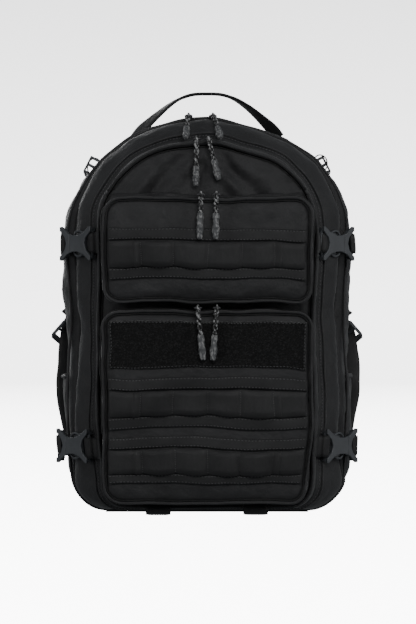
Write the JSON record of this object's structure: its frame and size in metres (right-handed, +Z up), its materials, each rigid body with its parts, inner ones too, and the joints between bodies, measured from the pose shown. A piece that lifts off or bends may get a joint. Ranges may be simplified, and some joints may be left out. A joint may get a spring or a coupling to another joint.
{
  "type": "trauma backpack",
  "caption": "Arched medical backpack with stacked front pockets, webbing rows, side compression buckles, corded zip pulls, carry handle and padded shoulder straps.",
  "frame": {"origin": "centre of the width, on the plane the pack stands on", "axes": "+Z up, -Y towards the front pockets, +X to the right seen from the front"},
  "size_m": [0.3794, 0.3501, 0.5035],
  "materials": {
    "fabric": "coated woven nylon, matt with a faint sheen",
    "webbing": "woven nylon webbing",
    "loop": "fuzzy loop pile",
    "mesh": "spacer mesh",
    "zip": "coil zip",
    "slider": "black painted die-cast metal",
    "buckle": "moulded acetal with a fine texture",
    "cord": "braided cord with pale flecks",
    "sheet": "smooth polyethylene sheet",
    "label": "woven satin ribbon, blank"
  },
  "bodies": {
    "pack": {"back_panel": "fabric", "back_pads": "mesh", "frame_sheet": "sheet", "main_rear_gusset": "fabric", "main_rear_arch": "buckle", "zipper_chains": "zip", "main_front_gusset": "fabric", "divider_panel": "fabric", "inner_sleeve": "fabric", "mesh_pocket": "mesh", "front_gusset": "fabric", "front_panel": "fabric", "front_organizer": "webbing", "upper_pocket_shell": "fabric", "lower_pocket_shell": "fabric", "lower_base_webbing": "webbing", "side_pockets": "fabric", "base_panel": "fabric", "lash_straps": "webbing", "compression_straps": "webbing", "compression_tabs": "webbing", "buckle_sockets": "buckle", "side_label": "label", "shoulder_straps": "fabric", "strap_webbing": "webbing", "ladder_locks": "buckle", "load_lifters": "webbing", "strap_anchors": "fabric", "handle_feet": "webbing"},
    "main_top": {"main_top_gusset": "fabric", "main_top_wall": "fabric", "front_top_gusset": "fabric"},
    "front_top": {"front_top_panel": "fabric"},
    "upper_flap": {"upper_flap_panel": "fabric", "upper_flap_webbing": "webbing"},
    "lower_flap": {"lower_flap_panel": "fabric", "loop_panel": "loop", "lower_flap_webbing": "webbing"},
    "handle": {"carry_handle": "webbing"},
    "sternum": {"sternum_strap": "webbing", "sternum_socket": "buckle"},
    "sternum_release": {"sternum_plug": "buckle"},
    "main_slider_left": {"main_slider_left": "slider"},
    "main_pull_left": {"main_pull_left": "cord"},
    "main_slider_right": {"main_slider_right": "slider"},
    "main_pull_right": {"main_pull_right": "cord"},
    "front_slider_left": {"front_slider_left": "slider"},
    "front_pull_left": {"front_pull_left": "cord"},
    "front_slider_right": {"front_slider_right": "slider"},
    "front_pull_right": {"front_pull_right": "cord"},
    "upper_slider_left": {"upper_slider_left": "slider"},
    "upper_pull_left": {"upper_pull_left": "cord"},
    "upper_slider_right": {"upper_slider_right": "slider"},
    "upper_pull_right": {"upper_pull_right": "cord"},
    "lower_slider_left": {"lower_slider_left": "slider"},
    "lower_pull_left": {"lower_pull_left": "cord"},
    "lower_slider_right": {"lower_slider_right": "slider"},
    "lower_pull_right": {"lower_pull_right": "cord"},
    "plug_upper_left": {"plug_upper_left": "buckle"},
    "plug_upper_right": {"plug_upper_right": "buckle"},
    "plug_lower_left": {"plug_lower_left": "buckle"},
    "plug_lower_right": {"plug_lower_right": "buckle"}
  },
  "joints": [
    {"name": "main_top_open", "type": "hinge", "parent": "pack", "child": "main_top", "pos_m": [0, -0.092, 0.378], "axis": [1, 0, 0], "range_deg": [0, 40]},
    {"name": "front_top_open", "type": "hinge", "parent": "main_top", "child": "front_top", "pos_m": [0, -0.092, 0.378], "axis": [1, 0, 0], "range_deg": [0, 35]},
    {"name": "upper_flap_open", "type": "hinge", "parent": "pack", "child": "upper_flap", "pos_m": [0, -0.141, 0.274], "axis": [1, 0, 0], "range_deg": [0, 110]},
    {"name": "lower_flap_open", "type": "hinge", "parent": "pack", "child": "lower_flap", "pos_m": [0, -0.15, 0.098], "axis": [1, 0, 0], "range_deg": [0, 100]},
    {"name": "handle_fold", "type": "hinge", "parent": "pack", "child": "handle", "pos_m": [0, 0.05, 0.4705], "axis": [-1, 0, 0], "range_deg": [0, 60]},
    {"name": "sternum_height", "type": "slide", "parent": "pack", "child": "sternum", "axis": [0, 0, 1], "range_m": [-0.02, 0.02]},
    {"name": "sternum_unclip", "type": "slide", "parent": "sternum", "child": "sternum_release", "axis": [1, 0, 0], "range_m": [0, 0.012]},
    {"name": "main_zip_left", "type": "hinge", "parent": "main_top", "child": "main_slider_left", "pos_m": [0, -0.0121, 0.2578], "axis": [0, -1, 0], "range_deg": [0, 20]},
    {"name": "main_pull_left_swing", "type": "hinge", "parent": "main_slider_left", "child": "main_pull_left", "pos_m": [-0.022, -0.0271, 0.4726], "axis": [-1, 0, 0], "range_deg": [0, 90]},
    {"name": "main_zip_right", "type": "hinge", "parent": "main_top", "child": "main_slider_right", "pos_m": [0, -0.0121, 0.2578], "axis": [0, 1, 0], "range_deg": [0, 20]},
    {"name": "main_pull_right_swing", "type": "hinge", "parent": "main_slider_right", "child": "main_pull_right", "pos_m": [0.007, -0.0271, 0.4726], "axis": [-1, 0, 0], "range_deg": [0, 90]},
    {"name": "front_zip_left", "type": "hinge", "parent": "front_top", "child": "front_slider_left", "pos_m": [0, -0.0621, 0.2532], "axis": [0, -1, 0], "range_deg": [0, 17]},
    {"name": "front_pull_left_swing", "type": "hinge", "parent": "front_slider_left", "child": "front_pull_left", "pos_m": [-0.012, -0.0921, 0.4426], "axis": [-1, 0, 0], "range_deg": [0, 90]},
    {"name": "front_zip_right", "type": "hinge", "parent": "front_top", "child": "front_slider_right", "pos_m": [0, -0.0621, 0.2532], "axis": [0, 1, 0], "range_deg": [0, 17]},
    {"name": "front_pull_right_swing", "type": "hinge", "parent": "front_slider_right", "child": "front_pull_right", "pos_m": [0.002, -0.0921, 0.4426], "axis": [-1, 0, 0], "range_deg": [0, 90]},
    {"name": "upper_zip_left", "type": "slide", "parent": "upper_flap", "child": "upper_slider_left", "axis": [-1, 0, 0], "range_m": [0, 0.07]},
    {"name": "upper_pull_left_swing", "type": "hinge", "parent": "upper_slider_left", "child": "upper_pull_left", "pos_m": [-0.007, -0.1491, 0.3756], "axis": [-1, 0, 0], "range_deg": [0, 90]},
    {"name": "upper_zip_right", "type": "slide", "parent": "upper_flap", "child": "upper_slider_right", "axis": [1, 0, 0], "range_m": [0, 0.07]},
    {"name": "upper_pull_right_swing", "type": "hinge", "parent": "upper_slider_right", "child": "upper_pull_right", "pos_m": [0.011, -0.1491, 0.3756], "axis": [-1, 0, 0], "range_deg": [0, 90]},
    {"name": "lower_zip_left", "type": "slide", "parent": "lower_flap", "child": "lower_slider_left", "axis": [-1, 0, 0], "range_m": [0, 0.07]},
    {"name": "lower_pull_left_swing", "type": "hinge", "parent": "lower_slider_left", "child": "lower_pull_left", "pos_m": [-0.0105, -0.1581, 0.2436], "axis": [-1, 0, 0], "range_deg": [0, 90]},
    {"name": "lower_zip_right", "type": "slide", "parent": "lower_flap", "child": "lower_slider_right", "axis": [1, 0, 0], "range_m": [0, 0.07]},
    {"name": "lower_pull_right_swing", "type": "hinge", "parent": "lower_slider_right", "child": "lower_pull_right", "pos_m": [0.0115, -0.1581, 0.2436], "axis": [-1, 0, 0], "range_deg": [0, 90]},
    {"name": "buckle_upper_left_release", "type": "slide", "parent": "pack", "child": "plug_upper_left", "axis": [-0.7071, 0.7071, 0], "range_m": [0, 0.024]},
    {"name": "buckle_upper_right_release", "type": "slide", "parent": "pack", "child": "plug_upper_right", "axis": [0.7071, 0.7071, 0], "range_m": [0, 0.024]},
    {"name": "buckle_lower_left_release", "type": "slide", "parent": "pack", "child": "plug_lower_left", "axis": [-0.7071, 0.7071, 0], "range_m": [0, 0.024]},
    {"name": "buckle_lower_right_release", "type": "slide", "parent": "pack", "child": "plug_lower_right", "axis": [0.7071, 0.7071, 0], "range_m": [0, 0.024]}
  ],
  "couplings": [
    {"joint": "main_pull_left_swing", "follows": "front_top_open", "ratio": 2.5},
    {"joint": "main_pull_right_swing", "follows": "front_top_open", "ratio": 2.5}
  ]
}
